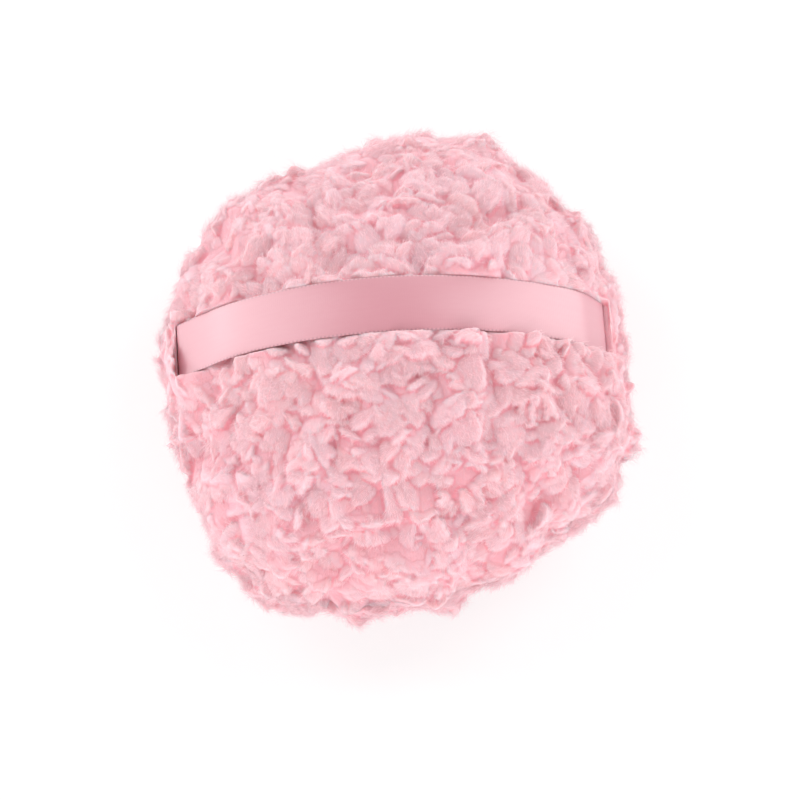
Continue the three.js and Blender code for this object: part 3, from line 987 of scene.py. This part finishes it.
def swell(piece, pressure, cap):
    """Blows a closed form up by simulation, and holds each point within the cap of where it was."""
    before = points_of(piece)
    activate(piece)
    bpy.ops.object.modifier_add(type="CLOTH")
    cloth = piece.modifiers[-1]
    cloth.settings.use_pressure = True
    cloth.settings.uniform_pressure_force = pressure
    cloth.settings.effector_weights.gravity = 0
    scene = bpy.context.scene
    for step in range(1, SWELL_FRAMES + 1):
        scene.frame_set(step)
    bpy.ops.object.modifier_apply(modifier=cloth.name)
    scene.frame_set(1)
    moved = points_of(piece) - before
    length = np.maximum(np.linalg.norm(moved, axis=1, keepdims=True), 1e-9)
    move_points(piece, before + moved * np.minimum(1, cap / length))


class PUFF_OT_stuffing(bpy.types.Operator):
    """Makes the loose fibre that fills the puff, swollen against its cloth"""

    bl_idname = "puff.stuffing"
    bl_label = "Stuffing"

    GRAIN = 5 * MM
    SHRINK = 2.5 * MM  # taken off before it swells
    SWELL = 2.2 * MM  # the most that it swells by

    def execute(self, context):
        stuffing = copy_of_node("fibre_filling", "stuffing")
        remesh(stuffing, self.GRAIN)
        move_points(stuffing, points_of(stuffing) - normals_of(stuffing) * self.SHRINK)
        swell(stuffing, pressure=4, cap=self.SWELL)
        activate(stuffing)
        bpy.ops.object.modifier_add(type="SUBSURF")
        bpy.ops.object.modifier_apply(modifier=stuffing.modifiers[-1].name)
        bpy.ops.object.shade_smooth()
        stuffing.data.materials.append(stuffing_finish())
        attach(stuffing, "puff")
        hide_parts("fibre_filling")
        return {"FINISHED"}


def stuffing_finish():
    """Matted white fibre."""
    finish = Finish("stuffing_fibre", roughness=0.95, specular_ior_level=0.1)
    strands = finish.noise(finish.place(), 2.5 * MM, detail=5.0, roughness=0.7)
    finish.set(base_color=finish.mixed(strands, (0.84, 0.82, 0.78), (0.95, 0.94, 0.91)))
    finish.set(normal=finish.bump(strands, 1.2 * MM))
    return finish.material


def knit_finish():
    """Fine knitted ground of the fleece, with columns of small stitches."""
    finish = Finish("knitted_backing", roughness=0.88, specular_ior_level=0.2, sheen_weight=0.2)
    column_pitch, row_pitch, patch_size = 1.1 * MM, 0.8 * MM, 14 * MM
    place = finish.place()
    x, y, z = (finish.axis(place, name) for name in "XYZ")
    stitches = x.wave(column_pitch) * (y + z).wave(row_pitch) * 0.5 + 0.5
    uneven = finish.noise(place, patch_size)
    colour = finish.mixed(stitches * 0.6 + uneven * 0.4, (0.76, 0.36, 0.42), (0.88, 0.5, 0.55))
    finish.set(base_color=colour, normal=finish.bump(stitches, 0.25 * MM))
    return finish.material


def thread_finish():
    """Sewing thread, twisted from two plies."""
    finish = Finish("sewing_thread", roughness=0.6, specular_ior_level=0.4)
    ply_pitch = 0.7 * MM
    place = finish.place()
    x, y, z = (finish.axis(place, name) for name in "XYZ")
    plies = (x + y + z).wave(ply_pitch) * 0.5 + 0.5
    finish.set(base_color=finish.mixed(plies, (0.72, 0.3, 0.37), (0.9, 0.5, 0.56)))
    finish.set(normal=finish.bump(plies, 0.1 * MM))
    return finish.material


class PUFF_OT_sewing(bpy.types.Operator):
    """Finishes the two backing cloths and the threads that join them"""

    bl_idname = "puff.sewing"
    bl_label = "Cloths and Threads"

    def execute(self, context):
        knit, thread = knit_finish(), thread_finish()
        finishes = {
            "upper_backing_cloth": knit,
            "lower_backing_cloth": knit,
            "perimeter_seam_thread": thread,
            "closing_stitch_thread": thread,
            "strap_tack_right": thread,
            "strap_tack_left": thread,
        }
        for name, finish in finishes.items():
            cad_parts[name].material_slots[0].material = finish
        return {"FINISHED"}


RIBBON_STRIPS = 8  # rows of faces across the ribbon


def ribbon_piece(path):
    """Models the ribbon's middle as a strip drawn out along its path."""
    deselect()
    bpy.ops.mesh.primitive_grid_add(x_subdivisions=1, y_subdivisions=RIBBON_STRIPS, size=RIBBON_WIDTH)
    ribbon = bpy.context.object
    ribbon.name = "satin_strap"
    points = points_of(ribbon)
    start = points[:, 0] < 0
    points = points * [0, 1, 0] + np.where(start[:, None], path[0], path[1])
    move_points(ribbon, points)
    bpy.ops.object.mode_set(mode="EDIT")
    bpy.ops.mesh.select_mode(type="VERT")
    bpy.ops.mesh.select_all(action="DESELECT")
    bpy.ops.object.mode_set(mode="OBJECT")
    for vertex, first in zip(ribbon.data.vertices, start):
        vertex.select = not first
    bpy.ops.object.mode_set(mode="EDIT")
    bpy.ops.mesh.select_mode(type="EDGE")
    for before, after in zip(path[1:], path[2:]):
        bpy.ops.mesh.extrude_region_move(TRANSFORM_OT_translate={"value": tuple(after - before)})
    bpy.ops.object.mode_set(mode="OBJECT")
    return ribbon


WAVE_HEIGHT, WAVE_LENGTH, WAVE_SLANT = 0.3 * MM, 13 * MM, 1.7  # of the ribbon's faint waves
CROWN_START_SHARE, CROWN_SHARE = 0.12, 0.76  # the stretch of the ribbon that bows and waves


def shape_ribbon(ribbon, path):
    """Bows the strip across its width, gives it faint waves, and lays out its UV map."""
    points = points_of(ribbon)
    steps = np.linalg.norm(np.diff(path, axis=0), axis=1)
    along = np.concatenate([[0], np.cumsum(steps)])
    station = np.array([np.argmin(np.linalg.norm(path[:, ::2] - p[::2], axis=1)) for p in points])
    length = along[station]
    breadth = (points[:, 1] - STRAP_MIDDLE) / HALF_RIBBON
    crown = np.sin(np.pi * grown(length / along[-1], CROWN_START_SHARE, CROWN_SHARE))
    sag = StrapLine.sag(points[:, 1]) * crown
    wave = WAVE_HEIGHT * crown * np.sin(length / WAVE_LENGTH + WAVE_SLANT * breadth)
    points[:, 2] += wave - sag
    move_points(ribbon, points)
    layer = ribbon.data.uv_layers.new(name="weave")
    for loop in ribbon.data.loops:
        i = loop.vertex_index
        layer.data[loop.index].uv = (length[i] / RIBBON_WIDTH, (breadth[i] + 1) / 2)
    return along[-1]


def satin_finish(settings):
    """Woven satin: a glossy warp along the ribbon, cross ribs that barely show, and a denser edge."""
    finish = Finish("satin_ribbon", roughness=0.36, specular_ior_level=1.0)
    finish.set(coat_weight=0.7, coat_roughness=0.3, sheen_weight=0.45, sheen_roughness=0.3)
    uv = finish.node("ShaderNodeUVMap", {"uv_map": "weave"})
    along, over = (finish.axis(uv, name) for name in "XY")
    warp_pitch, weft_pitch, loop_pitch = (pitch * MM / RIBBON_WIDTH for pitch in (0.35, 0.6, 1.1))
    streak_pitch = 0.8 * MM
    warp = over.wave(warp_pitch) * 0.5 + 0.5
    weft = along.wave(weft_pitch) * 0.5 + 0.5
    edge = (over - 0.5).size().between(0.455, 0.475)
    loops = along.wave(loop_pitch).between(-0.4, 0.6) * edge
    threads = warp * 0.5 + weft * 0.3 * (1 - edge) + loops
    streaks = finish.noise(finish.scaled(finish.place(), (0.12, 1.0, 0.12)), streak_pitch)
    dark = tuple(0.7 * c for c in settings.satin_colour)
    pale = tuple(0.3 + 0.7 * c for c in settings.satin_colour)
    colour = finish.mixed(streaks * 0.1 + threads * 0.08 + edge * 0.25, settings.satin_colour, pale)
    colour = finish.mixed(loops * 0.7, colour, dark)
    finish.set(base_color=colour, normal=finish.bump(threads, 0.05 * MM, 0.5))
    return finish.material


class PUFF_OT_ribbon(bpy.types.Operator):
    """Makes the satin strap with its sewn-in tails"""

    bl_idname = "puff.ribbon"
    bl_label = "Satin Strap"

    BLEND_HEIGHT = 20 * MM  # a height above the seam

    def execute(self, context):
        settings = context.scene.puff_ribbon
        path = StrapLine.path()
        ribbon = ribbon_piece(path)
        length = shape_ribbon(ribbon, path)
        activate(ribbon)
        bpy.ops.object.modifier_add(type="SOLIDIFY")
        bpy.ops.object.modifier_add(type="SUBSURF")
        solidify, subsurf = ribbon.modifiers
        solidify.thickness, solidify.offset = settings.thickness, 0
        subsurf.levels = subsurf.render_levels = 2
        for modifier in (solidify.name, subsurf.name):
            bpy.ops.object.modifier_apply(modifier=modifier)
        bpy.ops.object.shade_smooth()
        ribbon.data.materials.append(satin_finish(settings))
        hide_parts("ribbon_strap", "strap_tail_right", "strap_tail_left")
        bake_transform(ribbon)
        return {"FINISHED"}


class PUFF_OT_stage(bpy.types.Operator):
    """Sets the floor, the soft studio lamps and the camera"""

    bl_idname = "puff.stage"
    bl_label = "Stage"

    LAMPS_AIM = 0.04  # height over the floor that the softboxes face

    def execute(self, context):
        settings = context.scene.puff_stage
        scene = context.scene
        scene.view_settings.view_transform = "Standard"
        self.lay_floor()
        self.light(scene)
        self.place_camera(scene, settings)
        return {"FINISHED"}

    def lay_floor(self):
        """Lays a pale floor that the camera and gloss see as white, with a faint shadow on it."""
        deselect()
        bpy.ops.mesh.primitive_plane_add(size=6)
        floor = bpy.context.object
        floor.name = "studio_floor"
        finish = Finish("studio_floor", roughness=0.95, specular_ior_level=0)
        finish.set(base_color=(0.92, 0.92, 0.92, 1))
        camera = finish.node("ShaderNodeLightPath", output="Is Camera Ray")
        glossy = finish.node("ShaderNodeLightPath", output="Is Glossy Ray")
        shade = finish.node("ShaderNodeBsdfDiffuse", None, {"Color": (0.4, 0.4, 0.4, 1)})
        glow = finish.node("ShaderNodeEmission", None, {"Color": (1, 1, 1, 1), "Strength": 0.6})
        white = finish.node("ShaderNodeAddShader", None, {0: shade, 1: glow})
        plain = Value(finish, finish.shader.outputs[0])
        seen = camera.math("MAXIMUM", camera, glossy)
        finish.show(finish.node("ShaderNodeMixShader", None, {0: seen, 1: plain, 2: white}))
        floor.data.materials.append(finish.material)

    def light(self, scene):
        """Two tall softboxes at the sides, a low wide one in front and an even sky."""
        world = bpy.data.worlds.new("soft_studio")
        world.use_nodes = True
        sky = Finish.of_tree(world.node_tree)
        background = world.node_tree.nodes["Background"].inputs
        rise = sky.axis(sky.node("ShaderNodeTexCoord", output="Generated"), "Z")
        near_horizon = (1 - rise.size()) ** 2
        sky.feed(background["Color"], (1, 1, 1, 1))
        sky.feed(background["Strength"], near_horizon * 2.65 + 0.31)
        scene.world = world
        self.softbox("left_softbox", (-0.77, 0.42, 0.66), width=0.45, height=1.25, radiance=2.2)
        self.softbox("right_softbox", (0.75, 0.42, 0.7), width=0.45, height=1.3, radiance=2.15)
        self.softbox("front_softbox", (0.0, -1.3, 0.8), width=1.4, height=0.7, radiance=2.35)

    def softbox(self, name, place, width, height, radiance):
        """A rectangular lamp that faces the puff and looks this bright from there."""
        lamp = bpy.data.lights.new(name, "AREA")
        lamp.shape = "RECTANGLE"
        lamp.size, lamp.size_y = width, height
        lamp.energy = radiance * math.pi * width * height
        box = bpy.data.objects.new(name, lamp)
        box.location = place
        aim = Vector((0, 0, self.LAMPS_AIM)) - Vector(place)
        box.rotation_euler = aim.to_track_quat("-Z", "Y").to_euler()
        bpy.context.scene.collection.objects.link(box)

    def place_camera(self, scene, settings):
        """Places the camera so that the middle of the puff lies at its pixel."""
        turn, tilt = settings.camera_turn, settings.camera_tilt
        level = math.cos(tilt)
        back = Vector((math.sin(turn) * level, -math.cos(turn) * level, math.sin(tilt)))
        lens = bpy.data.cameras.new("camera")
        lens.sensor_width = SENSOR_WIDTH
        lens.lens = SENSOR_WIDTH * settings.camera_distance / settings.view_width
        camera = bpy.data.objects.new("camera", lens)
        low, high = CAD_BOX
        middle = (Vector(low) + Vector(high)) / 2
        camera.rotation_euler = (-back).to_track_quat("-Z", "Y").to_euler()
        right = camera.rotation_euler.to_matrix().col[0]
        up = camera.rotation_euler.to_matrix().col[1]
        pixel = settings.view_width / PICTURE_SIDE
        aside, down = (PICTURE_SIDE / 2 - place for place in PUFF_PIXEL)
        aim = middle + right * aside * pixel - up * down * pixel
        camera.location = aim + back * settings.camera_distance
        scene.collection.objects.link(camera)
        scene.camera = camera


class PUFF_PT_panel(bpy.types.Panel):
    """Lists the settings of the puff and the steps that build it"""

    bl_idname = "PUFF_PT_panel"
    bl_label = "Powder Puff"
    bl_space_type = "VIEW_3D"
    bl_region_type = "UI"
    bl_category = "Powder Puff"

    def draw(self, context):
        layout = self.layout
        for group in (context.scene.puff_fleece, context.scene.puff_ribbon, context.scene.puff_stage):
            box = layout.box()
            for name in group.__annotations__:
                box.prop(group, name)
        for operator in OPERATORS:
            layout.operator(operator.bl_idname)


OPERATORS = (PUFF_OT_stage, PUFF_OT_stuffing, PUFF_OT_sewing, PUFF_OT_pile, PUFF_OT_ribbon)
SETTINGS = {"puff_fleece": FleeceSettings, "puff_ribbon": RibbonSettings, "puff_stage": StageSettings}


def register():
    for kind in (*SETTINGS.values(), *OPERATORS, PUFF_PT_panel):
        bpy.utils.register_class(kind)
    for name, kind in SETTINGS.items():
        setattr(bpy.types.Scene, name, PointerProperty(type=kind))


def unregister():
    for name in SETTINGS:
        delattr(bpy.types.Scene, name)
    for kind in (PUFF_PT_panel, *reversed(OPERATORS), *SETTINGS.values()):
        bpy.utils.unregister_class(kind)


def main():
    register()
    bpy.ops.puff.stage()
    bpy.ops.puff.stuffing()
    bpy.ops.puff.sewing()
    bpy.ops.puff.pile()
    bpy.ops.puff.ribbon()


if __name__ == "__main__":
    main()
